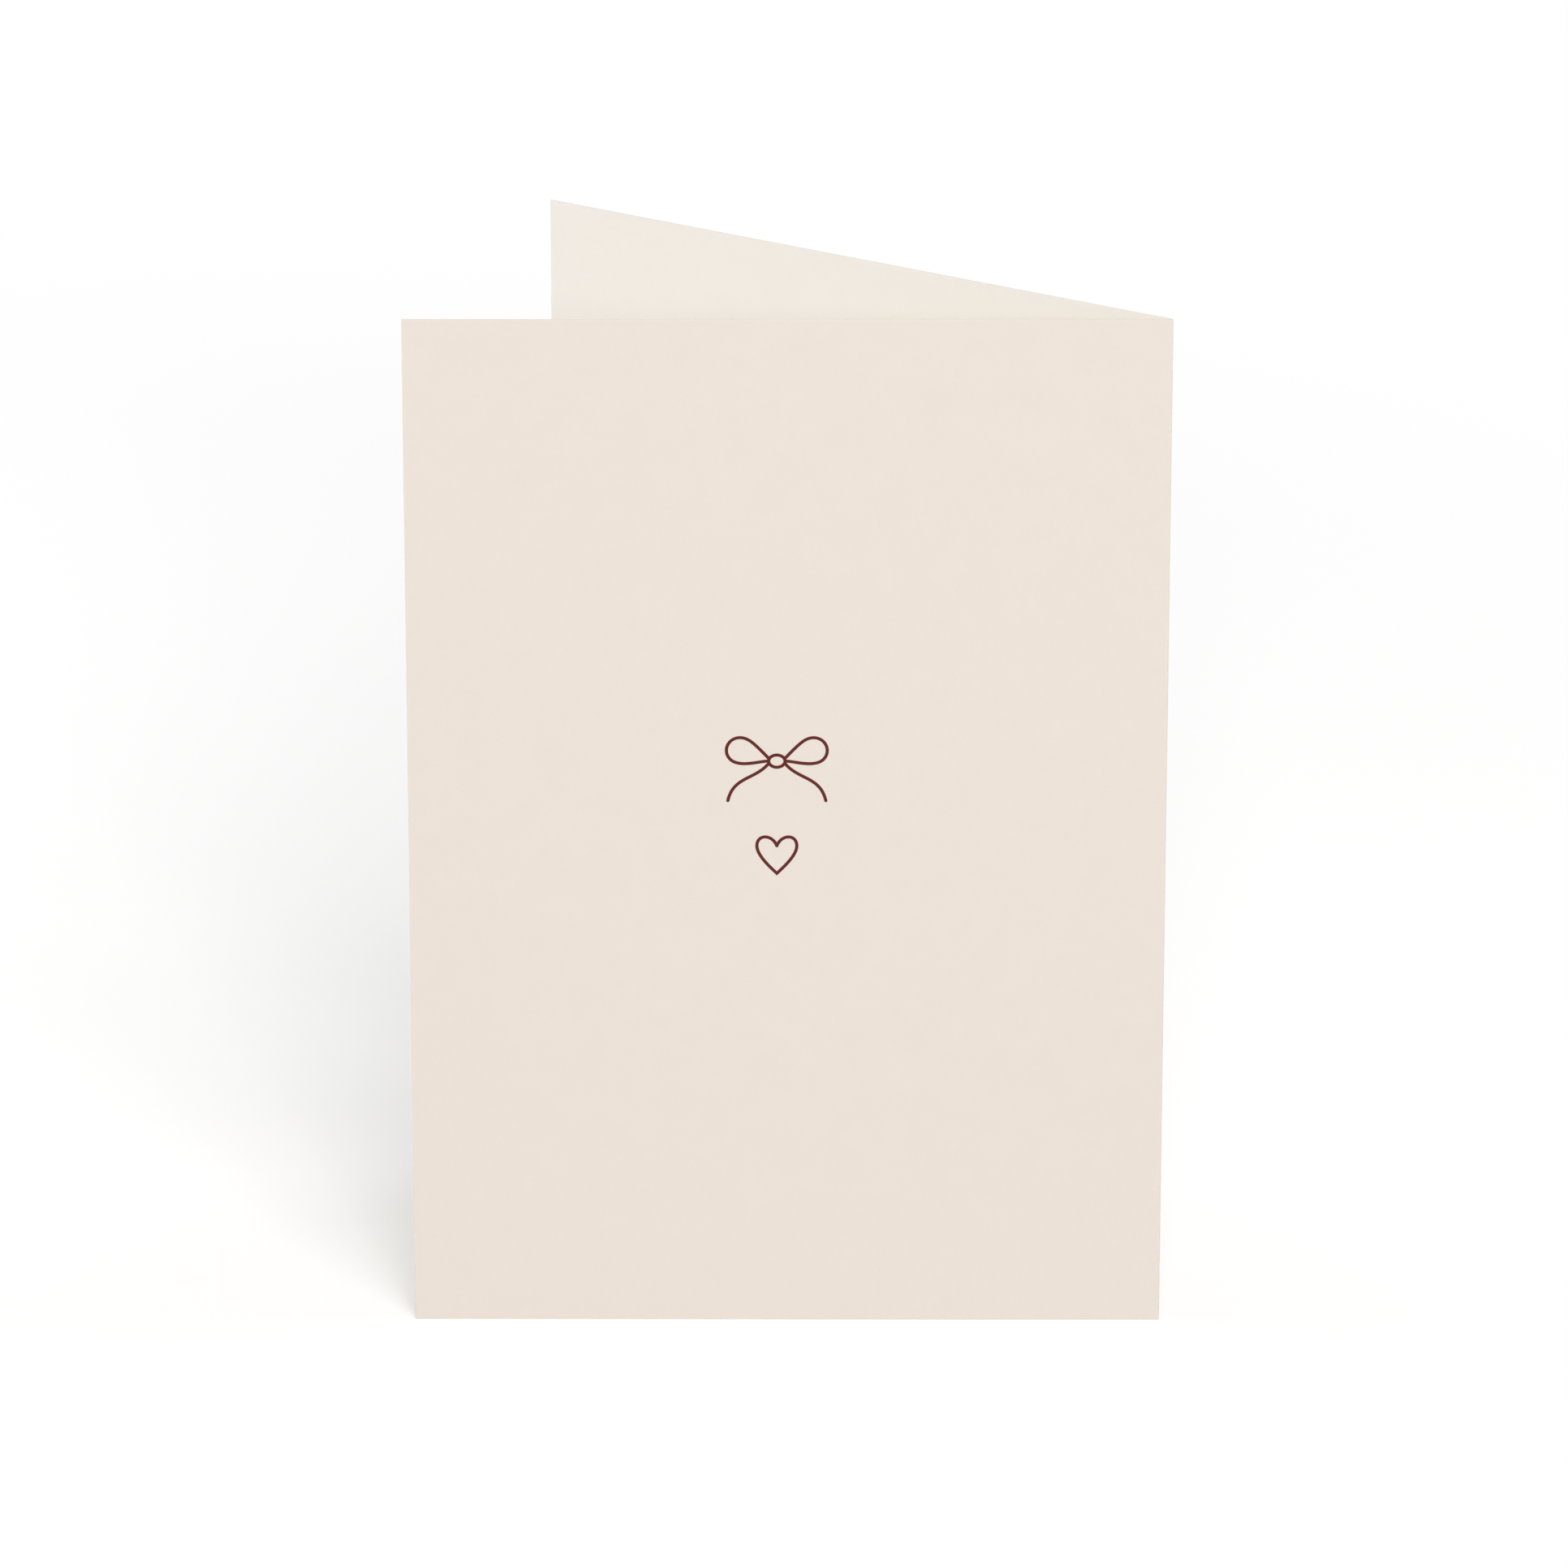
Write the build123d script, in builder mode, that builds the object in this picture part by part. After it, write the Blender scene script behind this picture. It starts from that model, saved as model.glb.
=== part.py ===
from build123d import *
import math
import os

# A folded greeting card that stands on its bottom edges, with its fold upright at +X. The front panel
# faces -Y, and the rear panel swings away behind it. The origin is the middle of the footprint, at the
# bottom edges. Sizes are in millimetres and degrees.

# The sheet
panel_width = 127.0  # 5 inches, from the outside of the fold to a panel's cut edge
card_height = 177.8  # 7 inches
stock_thickness = 0.4  # uncoated cover stock of about 324 g per square metre
opening_angle = 34.7  # between the two panels as the card stands

# The crease that the sheet is folded along
fold_inner_radius = 0.1
ridge_radius = 0.4  # the creasing rule raises this rounded ridge inside the fold

# The two figures printed on the front panel, drawn with a round pen
figures_offset = -1.75  # they stand a little left of the panel's middle
knot_rise = 12.1  # the bow's knot is above the panel's middle
heart_drop = 15.05  # from the knot down to the cusp between the heart's lobes
pen_width = 0.54  # a line of one and a half points
ink_film = 0.03

# The bow, from the centre of its knot, to the middle of its line
knot_half_width = 1.37
knot_half_height = 1.08
upper_root_angle = 22.0  # where a loop's upper side leaves the oval knot
lower_root_angle = 0.0
tail_root_angle = -18.0
loop_reach = 6.17  # to the centre of the loop's round end
loop_lift = 1.89
loop_radius = 2.26
loop_turn = 130.0  # how far the round end turns, from the loop's highest point
upper_side_pull = (3.64, 2.96)  # the point that draws the upper side out of the knot
crown_lead = 1.5  # how far the upper side runs level before the highest point
end_lead = 2.28  # how far the lower side runs on along the round end's last direction
lower_side_pull = (2.75, 0.07)  # the point that draws the lower side in to the knot
tail_first_pull = (3.54, -3.3)
tail_second_pull = (7.27, -2.67)
tail_end = (8.2, -7.0)

# The heart, from the cusp between its lobes, to the middle of its line
heart_half_width = 3.35
heart_depth = 4.9
lobe_pull = (0.76, 2.13)  # the point that draws a lobe up out of the cusp
lobe_lead = 2.12  # how far the lobe runs upright before its widest point
side_lead = 1.5  # how far the side runs upright after it
tip_run = 0.8  # each side ends straight, this far in to the tip and down to it, so they meet squarely
tip_lead = 0.65  # how far in and down the side already points at the tip before that

# What follows from the sizes above
bend_radius = fold_inner_radius + stock_thickness / 2
fold_outer_radius = fold_inner_radius + stock_thickness
flat_width = panel_width - fold_outer_radius
bend_angle = 180 - opening_angle
rear_reach = flat_width * math.sin(math.radians(opening_angle))
fold_depth = fold_outer_radius * (1 + math.cos(math.radians(opening_angle)))
front_face_y = -(rear_reach + fold_depth) / 2
front_middle_y = front_face_y + stock_thickness / 2
knot_height = card_height / 2 + knot_rise
cusp_height = knot_height - heart_drop

os.makedirs("parts", exist_ok=True)


def printed_face(height):
    """The front panel's outer face as seen from outside, its origin on the figures' middle line"""
    return Plane(origin=(figures_offset, front_face_y, height), x_dir=(1, 0, 0), z_dir=(0, -1, 0))


def knot_point(angle):
    """A point on the middle of the oval knot's line, counted from +x"""
    turn = math.radians(angle)
    return knot_half_width * math.cos(turn), knot_half_height * math.sin(turn)


# One sheet: the front panel, the bend and the rear panel follow one mid-line, and the crease's ridge
# fills the inside of the bend
with BuildPart() as card:
    with BuildSketch():
        with BuildLine():
            front_panel = Line(
                (-panel_width / 2, front_middle_y),
                (panel_width / 2 - fold_outer_radius, front_middle_y),
            )
            bend = JernArc(front_panel @ 1, front_panel % 1, bend_radius, bend_angle)
            Line(bend @ 1, (bend @ 1) + (bend % 1) * flat_width)
        trace(line_width=stock_thickness)
        with Locations(bend.center_point):
            Circle(ridge_radius)
    extrude(amount=card_height)
card.part.label = "card"
export_step(card.part, "parts/card.step")


# The ink of the bow: a loop and a tail on each side of an oval knot that is clear inside
with BuildPart() as bow_print:
    with BuildSketch(printed_face(knot_height)):
        with BuildLine():
            crown = (loop_reach, loop_lift + loop_radius)
            crown_approach = (loop_reach - crown_lead, loop_lift + loop_radius)
            Bezier(knot_point(upper_root_angle), upper_side_pull, crown_approach, crown)
            round_end = JernArc(crown, (1, 0), loop_radius, -loop_turn)
            end_exit = (round_end @ 1) + (round_end % 1) * end_lead
            Bezier(round_end @ 1, end_exit, lower_side_pull, knot_point(lower_root_angle))
            Bezier(knot_point(tail_root_angle), tail_first_pull, tail_second_pull, tail_end)
        trace(line_width=pen_width)
        with Locations(tail_end):
            Circle(pen_width / 2)
        mirror(about=Plane.YZ)
        Ellipse(knot_half_width + pen_width / 2, knot_half_height + pen_width / 2)
        Ellipse(
            knot_half_width - pen_width / 2,
            knot_half_height - pen_width / 2,
            mode=Mode.SUBTRACT,
        )
    extrude(amount=ink_film)
bow_print.part.label = "bow_print"
export_step(bow_print.part, "parts/bow_print.step")


# The ink of the heart: an outline with a round cusp between its lobes and a square corner as its tip
with BuildPart() as heart_print:
    with BuildSketch(printed_face(cusp_height)):
        with BuildLine():
            widest = (heart_half_width, 0)
            tip = (0, -heart_depth)
            tip_start = (tip_run, tip_run - heart_depth)
            tip_approach = (tip_run + tip_lead, tip_run + tip_lead - heart_depth)
            Bezier((0, 0), lobe_pull, (heart_half_width, lobe_lead), widest)
            Bezier(widest, (heart_half_width, -side_lead), tip_approach, tip_start)
            Line(tip_start, tip)
        trace(line_width=pen_width)
        Circle(pen_width / 2)
        with Locations(tip):
            Rectangle(pen_width, pen_width, rotation=45)
        mirror(about=Plane.YZ)
    extrude(amount=ink_film)
heart_print.part.label = "heart_print"
export_step(heart_print.part, "parts/heart_print.step")
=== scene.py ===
import math

import bmesh
import bpy
import numpy as np
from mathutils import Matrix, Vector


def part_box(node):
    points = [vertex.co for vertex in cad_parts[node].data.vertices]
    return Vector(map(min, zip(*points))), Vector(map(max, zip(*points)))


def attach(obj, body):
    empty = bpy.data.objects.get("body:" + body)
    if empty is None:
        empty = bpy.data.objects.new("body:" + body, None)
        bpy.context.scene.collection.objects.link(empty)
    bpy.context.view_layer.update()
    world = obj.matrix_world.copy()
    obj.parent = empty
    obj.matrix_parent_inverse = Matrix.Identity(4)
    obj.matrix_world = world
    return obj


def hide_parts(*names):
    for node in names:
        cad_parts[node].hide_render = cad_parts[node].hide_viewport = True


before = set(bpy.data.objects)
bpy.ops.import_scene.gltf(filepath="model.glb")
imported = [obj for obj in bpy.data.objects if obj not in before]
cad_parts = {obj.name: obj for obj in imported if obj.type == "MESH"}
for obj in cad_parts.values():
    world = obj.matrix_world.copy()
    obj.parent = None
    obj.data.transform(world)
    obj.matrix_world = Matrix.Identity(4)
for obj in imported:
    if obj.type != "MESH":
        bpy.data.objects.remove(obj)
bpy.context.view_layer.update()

MM = 0.001


def linear(hex_colour):
    """An sRGB hex value as the linear colour that a shader takes"""
    channels = [int(hex_colour[i : i + 2], 16) / 255 for i in (1, 3, 5)]
    return (*[c / 12.92 if c <= 0.04045 else ((c + 0.055) / 1.055) ** 2.4 for c in channels], 1)


def node(tree, kind, inputs=None, **settings):
    """Add a node with its settings. An input is a plain value, or an output to link to it."""
    made = tree.nodes.new(kind)
    for name, value in settings.items():
        setattr(made, name, value)
    for name, value in (inputs or {}).items():
        if isinstance(value, bpy.types.NodeSocket):
            tree.links.new(value, made.inputs[name])
        else:
            made.inputs[name].default_value = value
    return made


def new_material(name):
    """A material with only its output node, and that node's surface socket"""
    material = bpy.data.materials.new(name)
    material.use_nodes = True
    material.node_tree.nodes.clear()
    output = node(material.node_tree, "ShaderNodeOutputMaterial")
    return material, material.node_tree, output.inputs["Surface"]


# The folded sheet

STOCK = 0.4 * MM  # thickness of the cover stock
CREASE_INSIDE = 0.1 * MM  # radius inside the fold
RIDGE = 0.4 * MM  # radius of the ridge that the creasing rule raised inside the fold
EDGE_SOFTNESS = 0.08 * MM  # the guillotine and handling leave the cut edges a little soft

SOFT_STEPS = 5  # of the mesh over a softened edge
FOLD_STEPS = 36  # of the mesh round the fold
PANEL_STEP = 3 * MM
SHARP_ANGLE = math.radians(30)  # faces that meet at more than this shade as an edge

low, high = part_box("card")
card_height = high.z - low.z
card_depth = high.y - low.y
fold_outside = CREASE_INSIDE + STOCK
flat_width = high.x - low.x - fold_outside
fold_centre = np.array([high.x - fold_outside, low.y + fold_outside])

# The card is flat_width * sin(opening) + fold_outside * (1 + cos(opening)) deep
opening = math.asin((card_depth - fold_outside) / math.hypot(flat_width, fold_outside))
opening -= math.atan2(fold_outside, flat_width)
fold_turn = math.pi - opening
fold_length = (CREASE_INSIDE + STOCK / 2) * fold_turn
ridge_foot = math.sqrt(RIDGE**2 - CREASE_INSIDE**2)  # how far along a panel the ridge reaches
ridge_half_angle = opening / 2 + math.asin(CREASE_INSIDE / RIDGE)  # of its arc inside the fold


def outward(turn):
    """The direction out of the fold, after that much of its turn from the front panel"""
    return np.array([math.sin(turn), -math.cos(turn)])


def onward(turn):
    """The direction along the sheet, away from the front's cut edge, after that much turn"""
    return np.array([math.cos(turn), math.sin(turn)])


def station(along, turn, run, inner_point, inner_normal, inset):
    """One upright line of the mesh: its place along the unfolded sheet, its point and normal on the
    outside and on the inside, and how far both draw back"""
    outer_point = fold_centre + outward(turn) * fold_outside + onward(turn) * run
    return along, outer_point, outward(turn), inner_point, inner_normal, inset


def softened(distance):
    """How far a face draws back at that distance from a cut edge"""
    short = max(EDGE_SOFTNESS - distance, 0)
    return EDGE_SOFTNESS - math.sqrt(EDGE_SOFTNESS**2 - short**2)


def from_edge(length):
    """Distances from a cut edge: close together where it is softened, then even up to the length"""
    turns = np.linspace(0, math.pi / 2, SOFT_STEPS + 1)
    soft = EDGE_SOFTNESS * (1 - np.cos(turns))
    even = np.linspace(2 * EDGE_SOFTNESS, length, round(length / PANEL_STEP) + 1)
    return [*soft, *even]


def sheet_stations():
    """The mesh's upright lines, from the front's cut edge round the fold to the rear's cut edge"""
    flat = from_edge(flat_width - ridge_foot)
    stations = []
    # The front panel
    for distance in flat:
        run = distance - flat_width
        inner = fold_centre + outward(0) * CREASE_INSIDE + onward(0) * run
        stations.append(station(distance, 0, run, inner, -outward(0), softened(distance)))
    # The fold, as far as its ridge reaches inside it
    span = fold_length + 2 * ridge_foot
    for share in np.linspace(0, 1, FOLD_STEPS + 1)[1:-1]:
        past = share * span - ridge_foot
        turn = fold_turn * min(max(past / fold_length, 0), 1)
        run = min(past, 0) + max(past - fold_length, 0)
        into_fold = fold_turn / 2 + math.pi + ridge_half_angle * (1 - 2 * share)
        ridge = outward(into_fold)
        inner = fold_centre + ridge * RIDGE
        stations.append(station(flat_width + past, turn, run, inner, ridge, 0))
    # The rear panel
    for distance in reversed(flat):
        run = flat_width - distance
        along = flat_width + fold_length + run
        inner = fold_centre + outward(fold_turn) * CREASE_INSIDE + onward(fold_turn) * run
        inner_normal = -outward(fold_turn)
        stations.append(station(along, fold_turn, run, inner, inner_normal, softened(distance)))
    return stations


def sheet_heights():
    """The heights of the mesh's level lines, close together at the two cut edges"""
    lower_half = from_edge(card_height / 2)
    upper_half = [card_height - distance for distance in reversed(lower_half[:-1])]
    return lower_half + upper_half


def lay_points(mesh, stations, heights):
    """The sheet's points, line by line: its outside, its inside, and how far both draw back.
    A point keeps its place in the unfolded sheet in millimetres, and how much the fold bends it."""
    place = mesh.verts.layers.float_vector.new("sheet")
    bend = mesh.verts.layers.float.new("fold")
    outside, inside, insets = [], [], []
    for along, outer_point, outer_normal, inner_point, inner_normal, inset in stations:
        past = (along - flat_width) / fold_length
        bent = math.sin(math.pi * past) if 0 < past < 1 else 0
        outer_line, inner_line, inset_line = [], [], []
        for height in heights:
            drawn = max(inset, softened(min(height, card_height - height)))
            lift = (STOCK / 2 - drawn) / MM
            for line, point, normal, side_lift, side_bent in (
                (outer_line, outer_point, outer_normal, lift, bent),
                (inner_line, inner_point, inner_normal, -lift, 0),
            ):
                x, y = point - normal * drawn
                vert = mesh.verts.new((x, y, low.z + height))
                vert[place] = (along / MM, height / MM, side_lift)
                vert[bend] = side_bent
                line.append(vert)
            inset_line.append(drawn)
        outside.append(outer_line)
        inside.append(inner_line)
        insets.append(inset_line)
    return outside, inside, insets


OUTSIDE, INSIDE, CUT = range(3)  # the sheet's three finishes


def join_points(mesh, outside, inside, insets):
    """Faces over both sides of the sheet and along its four cut edges"""
    # Where its faces draw back this far, a softened edge has turned halfway to the cut
    half_turned = EDGE_SOFTNESS * (1 - math.sqrt(0.5))
    last, top = len(outside) - 1, len(outside[0]) - 1
    for i in range(last):
        for j in range(top):
            corners = ((i, j), (i + 1, j), (i + 1, j + 1), (i, j + 1))
            turned = sum(insets[a][b] for a, b in corners) / 4 > half_turned
            outer_face = mesh.faces.new([outside[a][b] for a, b in corners])
            inner_face = mesh.faces.new([inside[a][b] for a, b in reversed(corners)])
            outer_face.material_index = CUT if turned else OUTSIDE
            inner_face.material_index = CUT if turned else INSIDE
        for j in (0, top):
            corners = [outside[i][j], outside[i + 1][j], inside[i + 1][j], inside[i][j]]
            mesh.faces.new(corners if j else corners[::-1]).material_index = CUT
    for j in range(top):
        for i in (0, last):
            corners = [outside[i][j], inside[i][j], inside[i][j + 1], outside[i][j + 1]]
            mesh.faces.new(corners if i else corners[::-1]).material_index = CUT


def folded_sheet(materials):
    """The card as one closed mesh of its sheet"""
    mesh = bmesh.new()
    join_points(mesh, *lay_points(mesh, sheet_stations(), sheet_heights()))
    data = bpy.data.meshes.new("folded_sheet")
    mesh.to_mesh(data)
    mesh.free()
    data.shade_smooth()
    data.set_sharp_from_angle(angle=SHARP_ANGLE)
    for material in materials:
        data.materials.append(material)
    sheet = bpy.data.objects.new("folded_sheet", data)
    bpy.context.scene.collection.objects.link(sheet)
    # The flat faces shade flat right up to their soft edges
    shading = sheet.modifiers.new("flat_faces", "WEIGHTED_NORMAL")
    shading.keep_sharp = True
    return sheet


# Materials. The sheet has a blush tint printed over its outside, bare natural white stock inside,
# and the same stock's pulp showing where it is cut. Each colour is a pair, the darker one first.

BLUSH = linear("#EAE0D6"), linear("#EEE4DA")
NATURAL_WHITE = linear("#F9F4EC"), linear("#FDF8F1")
PULP = linear("#F3EADF"), linear("#FEF6EC")
BURGUNDY = linear("#5B241E"), linear("#692E26")

# The sizes of the patterns, in millimetres
CLOUD = 7.0  # where the pulp lay thicker or thinner on the wire
FELT = 0.45  # the soft dents that the press felt left
FIBRE_LENGTH = 1.8
FIBRE_GAP = 0.16  # a real fibre is 0.03 across, so these are drawn coarser, as bundles
PULP_TUFT = 0.7  # along the cut edge
PULP_LAYER = 0.04  # a few fibres thick, because one alone is too fine to show
PULP_FLUFF = 0.12  # ends of fibres that the guillotine pulled up
OPENED_WIDTH = 0.07  # the bundles of fibres that the fold opens
OPENED_LENGTH = 0.9
INK_TAKE = 0.22  # patches that took a little more or less ink

FIBRE_TURNS = (14, 77, 131)  # degrees from the sheet's bottom edge
NOISE_MIDDLE = 0.5
FIBRE_SPREAD = 0.04  # how far from that level the noise may be on a fibre
OPENED_FROM, OPENED_TO = 0.52, 0.62  # the noise's levels where a fibre begins to open, and is open
OPENED_SHOWS = 0.6  # how much of the pulp an open fibre shows
OPENED_DEPTH = 0.01  # millimetres

# What a finish starts from, and what each of its patterns adds. A tone of 0 is the darker colour of
# its pair and 1 the lighter one, and relief is in millimetres.
STOCK_TONE = {"start": 0.07, "clouds": 0.6, "felt": 0.4, "fibres": -0.15}
STOCK_ROUGHNESS = {"start": 0.84, "felt": 0.12}
STOCK_RELIEF = {"felt": 0.012, "fibres": 0.003}
PULP_TONE = {"start": -0.5, "layers": 1.3, "fluff": 0.7}
PULP_ROUGHNESS = 0.95
PULP_RELIEF = {"layers": 0.012, "fluff": 0.008}
INK_TONE = {"start": -0.15, "take": 1.2, "fibres": 0.2}
INK_ROUGHNESS = 0.8

# The specular level of each finish: paper scatters, and ink that sank in hardly shines at all
PAPER_GLOSS = 0.3
INK_GLOSS = 0.2


def added_up(tree, weights, **patterns):
    """What a finish starts from, and every pattern times its weight"""
    total = weights.get("start", 0)
    for name, pattern in patterns.items():
        total = node(
            tree,
            "ShaderNodeMath",
            {0: pattern, 1: weights[name], 2: total},
            operation="MULTIPLY_ADD",
        ).outputs[0]
    return total


def sheet_place(tree):
    """A point's place in the unfolded sheet: along it, up it and through it, in millimetres"""
    return node(tree, "ShaderNodeAttribute", attribute_name="sheet").outputs["Vector"]


def ink_place(tree):
    """The same place for the ink, which lies on the front panel and keeps no record of it"""
    laid = node(
        tree,
        "ShaderNodeMapping",
        {
            "Vector": node(tree, "ShaderNodeTexCoord").outputs["Object"],
            "Location": (-low.x / MM, 0, STOCK / 2 / MM),
            "Rotation": (-math.pi / 2, 0, 0),
            "Scale": (1 / MM, 0, 1 / MM),
        },
    )
    return laid.outputs["Vector"]


def grain(tree, place, size, detail=2, turn=0):
    """Noise in patches of that length, height and depth in millimetres, turned by degrees"""
    laid = node(
        tree,
        "ShaderNodeMapping",
        {"Vector": place, "Rotation": (0, 0, math.radians(turn)), "Scale": size},
        vector_type="TEXTURE",
    ).outputs["Vector"]
    noise = node(tree, "ShaderNodeTexNoise", {"Vector": laid, "Scale": 1, "Detail": detail})
    return noise.outputs["Fac"]


def fibre_lines(tree, place):
    """Long thin lines that cross at three angles, as the longer fibres lie on the felt side"""
    lines = 0
    for turn in FIBRE_TURNS:
        streaks = grain(tree, place, (FIBRE_LENGTH, FIBRE_GAP, FIBRE_GAP), detail=1, turn=turn)
        off_line = node(
            tree, "ShaderNodeMath", {0: streaks, 1: NOISE_MIDDLE}, operation="SUBTRACT"
        ).outputs[0]
        width = node(tree, "ShaderNodeMath", {0: off_line}, operation="ABSOLUTE").outputs[0]
        line = node(
            tree,
            "ShaderNodeMapRange",
            {"Value": width, "From Max": FIBRE_SPREAD, "To Min": 1, "To Max": 0},
        ).outputs["Result"]
        lines = node(tree, "ShaderNodeMath", {0: line, 1: lines}, operation="MAXIMUM").outputs[0]
    return lines


def finish_matt(tree, surface, colours, tone, roughness, gloss, relief):
    """A matt surface, its colour between the two. Its relief is in millimetres."""
    colour = node(
        tree, "ShaderNodeMix", {"Factor": tone, "A": colours[0], "B": colours[1]}, data_type="RGBA"
    ).outputs["Result"]
    bump = node(tree, "ShaderNodeBump", {"Height": relief, "Distance": MM, "Strength": 1})
    shader = node(
        tree,
        "ShaderNodeBsdfPrincipled",
        {
            "Base Color": colour,
            "Roughness": roughness,
            "Specular IOR Level": gloss,
            "Normal": bump.outputs["Normal"],
        },
    )
    tree.links.new(shader.outputs["BSDF"], surface)


def uncoated_stock(tree, place):
    """The tone, roughness and relief of uncoated cover stock that was pressed on a felt: dead matt
    and faintly clouded, with soft dents and fibres"""
    clouds = grain(tree, place, (CLOUD,) * 3)
    felt = grain(tree, place, (FELT,) * 3)
    fibres = fibre_lines(tree, place)
    tone = added_up(tree, STOCK_TONE, clouds=clouds, felt=felt, fibres=fibres)
    roughness = added_up(tree, STOCK_ROUGHNESS, felt=felt)
    relief = added_up(tree, STOCK_RELIEF, felt=felt, fibres=fibres)
    return tone, roughness, relief


def printed_outside():
    """The stock under a flat tint. The bend opens a few fibres, which show the untinted pulp."""
    material, tree, surface = new_material("blush_printed_cover_stock")
    place = sheet_place(tree)
    tone, roughness, relief = uncoated_stock(tree, place)
    tint = node(
        tree, "ShaderNodeMix", {"Factor": tone, "A": BLUSH[0], "B": BLUSH[1]}, data_type="RGBA"
    ).outputs["Result"]
    bend = node(tree, "ShaderNodeAttribute", attribute_name="fold").outputs["Fac"]
    split = node(
        tree,
        "ShaderNodeMapRange",
        {
            "Value": grain(tree, place, (OPENED_WIDTH, OPENED_LENGTH, 1), detail=3),
            "From Min": OPENED_FROM,
            "From Max": OPENED_TO,
        },
    ).outputs["Result"]
    opened = node(tree, "ShaderNodeMath", {0: split, 1: bend}, operation="MULTIPLY").outputs[0]
    pulp = node(
        tree, "ShaderNodeMath", {0: opened, 1: OPENED_SHOWS}, operation="MULTIPLY"
    ).outputs[0]
    relief = node(
        tree,
        "ShaderNodeMath",
        {0: opened, 1: -OPENED_DEPTH, 2: relief},
        operation="MULTIPLY_ADD",
    ).outputs[0]
    finish_matt(tree, surface, (tint, NATURAL_WHITE[0]), pulp, roughness, PAPER_GLOSS, relief)
    return material


def bare_inside():
    """The same stock unprinted, so it is lighter and less pink"""
    material, tree, surface = new_material("bare_natural_white_cover_stock")
    tone, roughness, relief = uncoated_stock(tree, sheet_place(tree))
    finish_matt(tree, surface, NATURAL_WHITE, tone, roughness, PAPER_GLOSS, relief)
    return material


def cut_edge():
    """Pulp that the guillotine cut through: thin layers along the edge, rougher than the faces"""
    material, tree, surface = new_material("cut_pulp_of_cover_stock")
    place = sheet_place(tree)
    layers = grain(tree, place, (PULP_TUFT, PULP_TUFT, PULP_LAYER), detail=3)
    fluff = grain(tree, place, (PULP_FLUFF,) * 3)
    tone = added_up(tree, PULP_TONE, layers=layers, fluff=fluff)
    relief = added_up(tree, PULP_RELIEF, layers=layers, fluff=fluff)
    finish_matt(tree, surface, PULP, tone, PULP_ROUGHNESS, PAPER_GLOSS, relief)
    return material


def printing_ink():
    """Offset ink that sank into uncoated paper: matt, over the same dents, and unevenly taken up"""
    material, tree, surface = new_material("burgundy_offset_ink")
    place = ink_place(tree)
    take = grain(tree, place, (INK_TAKE,) * 3, detail=3)
    felt = grain(tree, place, (FELT,) * 3)
    fibres = fibre_lines(tree, place)
    tone = added_up(tree, INK_TONE, take=take, fibres=fibres)
    relief = added_up(tree, STOCK_RELIEF, felt=felt, fibres=fibres)
    finish_matt(tree, surface, BURGUNDY, tone, INK_ROUGHNESS, INK_GLOSS, relief)
    return material


sheet = folded_sheet([printed_outside(), bare_inside(), cut_edge()])
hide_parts("card")
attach(sheet, "root")

ink = printing_ink()
for name in ("bow_print", "heart_print"):
    bpy.data.objects[name].material_slots[0].material = ink


# The studio

TABLE_SIZE = 12.0
TABLE_WHITE = linear("#E6E6E6")  # a plain white surface, as it throws light back on the card
TABLE_SEEN = (1.2, 1.2, 1.2, 1)  # by the camera, so that only the card's shadow is below white
SHADOW_MIDDLE = (-0.15, 0.15, 0)
FADE_FROM, FADE_TO = 0.285, 0.5  # where the table fades into white, in metres from that middle
ROOM_LEVEL = 0.65

# The camera, fitted to the card's five corners in the photograph, in millimetres and degrees
SENSOR, LENS = 36, 209.59
CAMERA_PLACE = (3.525, -1477.7, 603.16)
CAMERA_DOWN, CAMERA_LEFT = 19.353, 0.162


def seen_as_background(tree):
    """1 where a ray shows the background, to the camera or by way of something glossy or clear"""
    rays = node(tree, "ShaderNodeLightPath").outputs
    seen = rays["Is Camera Ray"]
    for other in ("Is Glossy Ray", "Is Transmission Ray"):
        seen = node(
            tree, "ShaderNodeMath", {0: seen, 1: rays[other]}, operation="MAXIMUM"
        ).outputs[0]
    return seen


def white_table():
    """A matt white table top, which the camera sees fade into the white room beyond the shadow"""
    material, tree, surface = new_material("matt_white_table_top")
    seen = seen_as_background(tree)
    colour = node(
        tree, "ShaderNodeMix", {"Factor": seen, "A": TABLE_WHITE, "B": TABLE_SEEN}, data_type="RGBA"
    ).outputs["Result"]
    top = node(tree, "ShaderNodeBsdfDiffuse", {"Color": colour}).outputs["BSDF"]
    there = node(tree, "ShaderNodeTexCoord").outputs["Object"]
    away = node(
        tree, "ShaderNodeVectorMath", {0: there, 1: SHADOW_MIDDLE}, operation="DISTANCE"
    ).outputs["Value"]
    faded = node(
        tree,
        "ShaderNodeMapRange",
        {"Value": away, "From Min": FADE_FROM, "From Max": FADE_TO},
        interpolation_type="SMOOTHSTEP",
    ).outputs["Result"]
    share = node(tree, "ShaderNodeMath", {0: faded, 1: seen}, operation="MULTIPLY").outputs[0]
    white = node(tree, "ShaderNodeEmission", {"Strength": 1.0}).outputs["Emission"]
    shown = node(tree, "ShaderNodeMixShader", {"Fac": share, 1: top, 2: white})
    tree.links.new(shown.outputs["Shader"], surface)
    half = TABLE_SIZE / 2
    corners = [(-half, -half, 0), (half, -half, 0), (half, half, 0), (-half, half, 0)]
    mesh = bpy.data.meshes.new("table_top")
    mesh.from_pydata(corners, [], [range(4)])
    mesh.materials.append(material)
    table = bpy.data.objects.new("table_top", mesh)
    bpy.context.scene.collection.objects.link(table)


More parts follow.
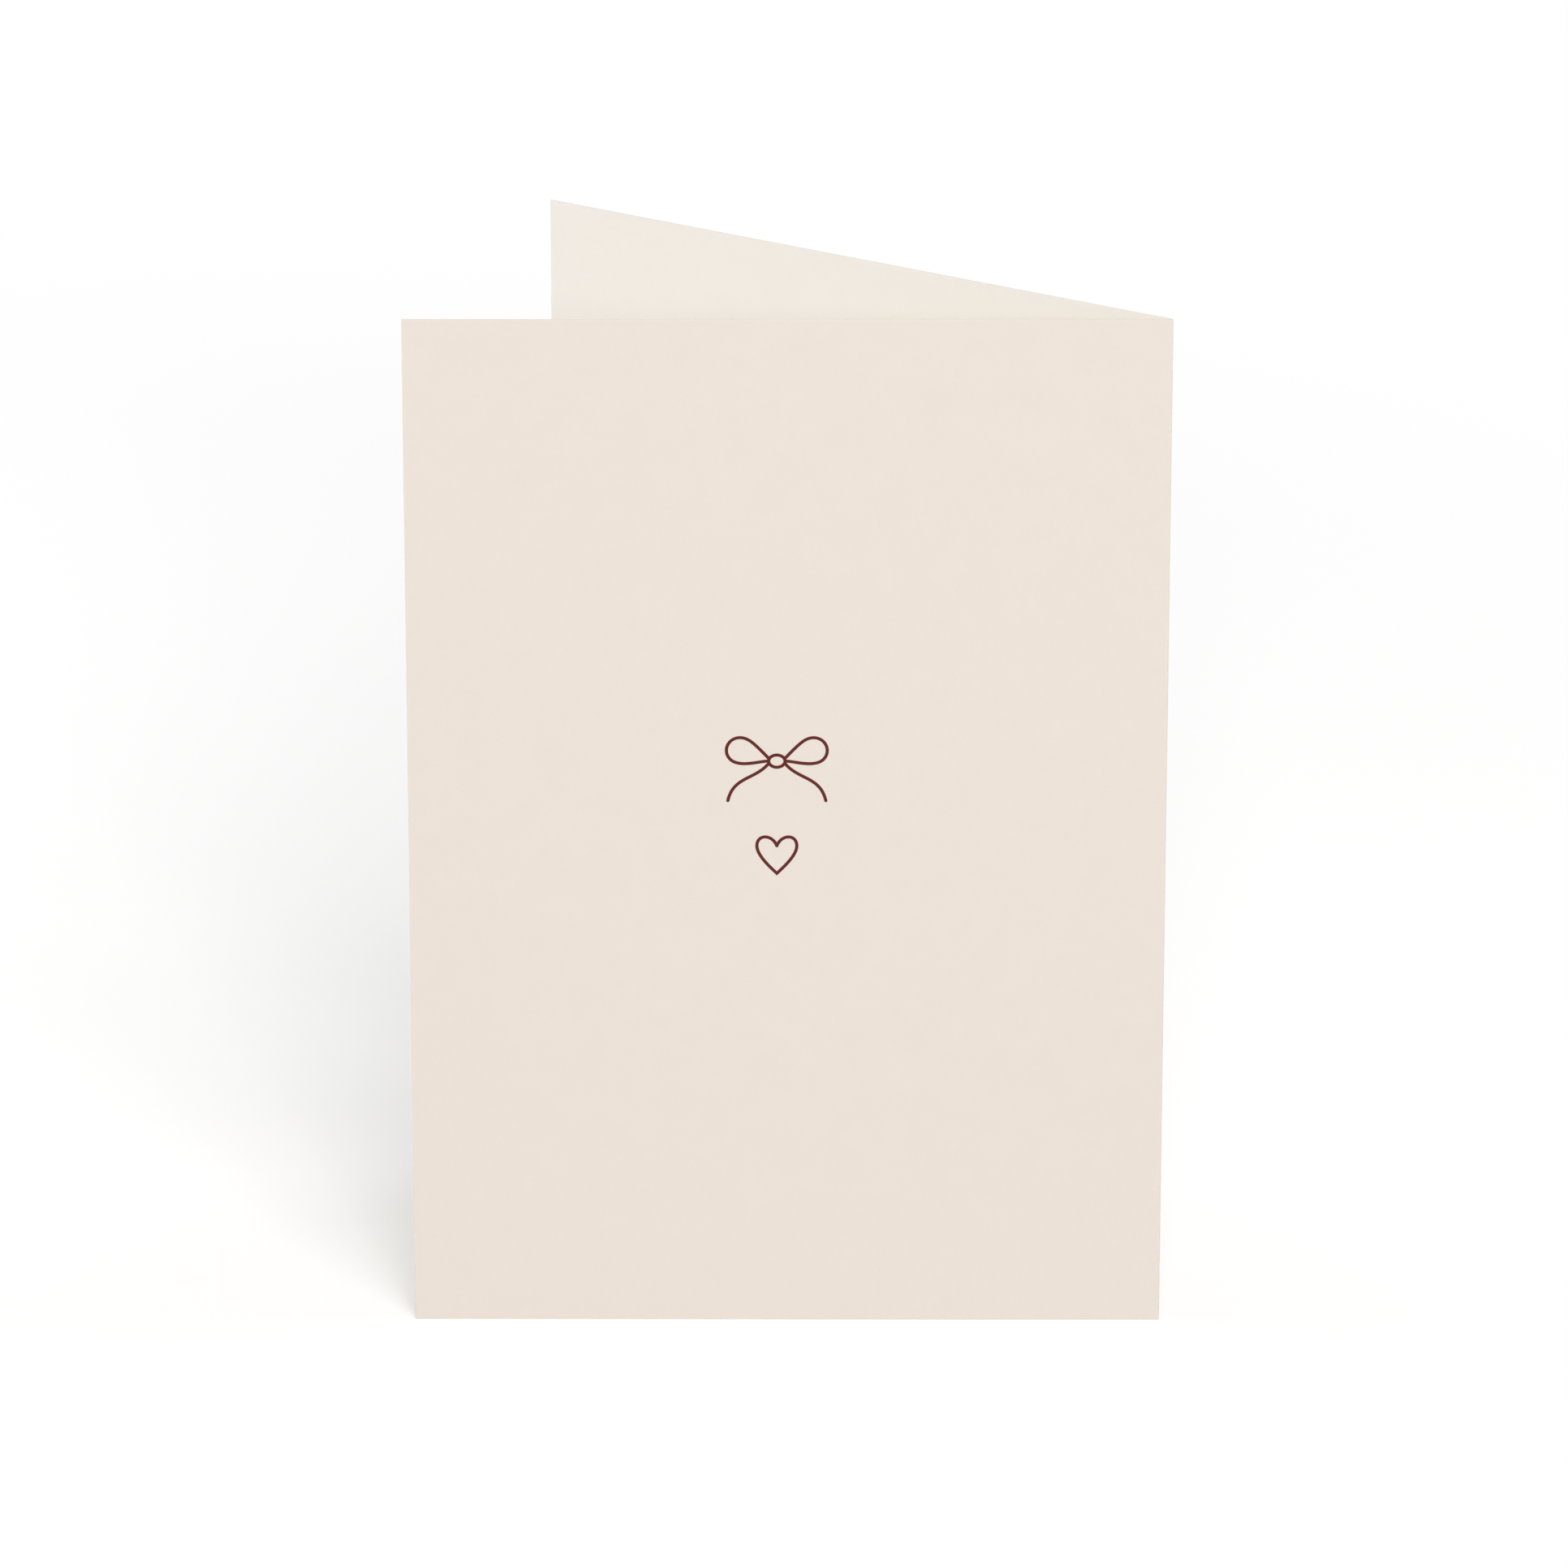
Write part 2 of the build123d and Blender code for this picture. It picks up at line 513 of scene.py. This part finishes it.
def white_room():
    """Even light from the whole room. The camera sees it white."""
    world = bpy.data.worlds.new("white_room")
    world.use_nodes = True
    tree = world.node_tree
    tree.nodes.clear()
    seen = seen_as_background(tree)
    level = node(
        tree, "ShaderNodeMix", {"Factor": seen, "A": ROOM_LEVEL, "B": 1.0}, data_type="FLOAT"
    ).outputs["Result"]
    background = node(tree, "ShaderNodeBackground", {"Strength": level})
    output = node(tree, "ShaderNodeOutputWorld")
    tree.links.new(background.outputs["Background"], output.inputs["Surface"])
    bpy.context.scene.world = world


def softbox(name, level, size, distance, azimuth, elevation):
    """A square lamp that looks at the card's middle. Its level is how bright a white surface that
    faces it looks. Azimuth 0 is in front of the card, and 90 to its right."""
    lamp = bpy.data.lights.new(name, "AREA")
    lamp.size = size
    lamp.energy = level * (math.pi * distance) ** 2
    holder = bpy.data.objects.new(name, lamp)
    turn, rise = math.radians(azimuth), math.radians(elevation)
    holder.location = (
        distance * math.sin(turn) * math.cos(rise),
        -distance * math.cos(turn) * math.cos(rise),
        distance * math.sin(rise) + card_height / 2,
    )
    holder.rotation_euler = (math.pi / 2 - rise, 0, turn)
    bpy.context.scene.collection.objects.link(holder)


white_table()
white_room()
softbox("low_key_softbox", level=0.290, size=1.2, distance=3.5, azimuth=5, elevation=24)
softbox("side_key_softbox", level=0.094, size=1.2, distance=3.5, azimuth=25, elevation=36)
softbox("high_key_softbox", level=0.110, size=1.2, distance=3.5, azimuth=15, elevation=50)
softbox("low_left_reflector", level=0.286, size=0.8, distance=1.2, azimuth=-115, elevation=8)
softbox("right_reflector", level=0.131, size=1.0, distance=1.8, azimuth=115, elevation=15)

camera_data = bpy.data.cameras.new("photo_camera")
camera_data.sensor_width = SENSOR
camera_data.lens = LENS
camera = bpy.data.objects.new("photo_camera", camera_data)
camera.location = [place * MM for place in CAMERA_PLACE]
camera.rotation_euler = (math.radians(90 - CAMERA_DOWN), 0, math.radians(CAMERA_LEFT))
bpy.context.scene.collection.objects.link(camera)
bpy.context.scene.camera = camera

bpy.context.scene.view_settings.view_transform = "Standard"
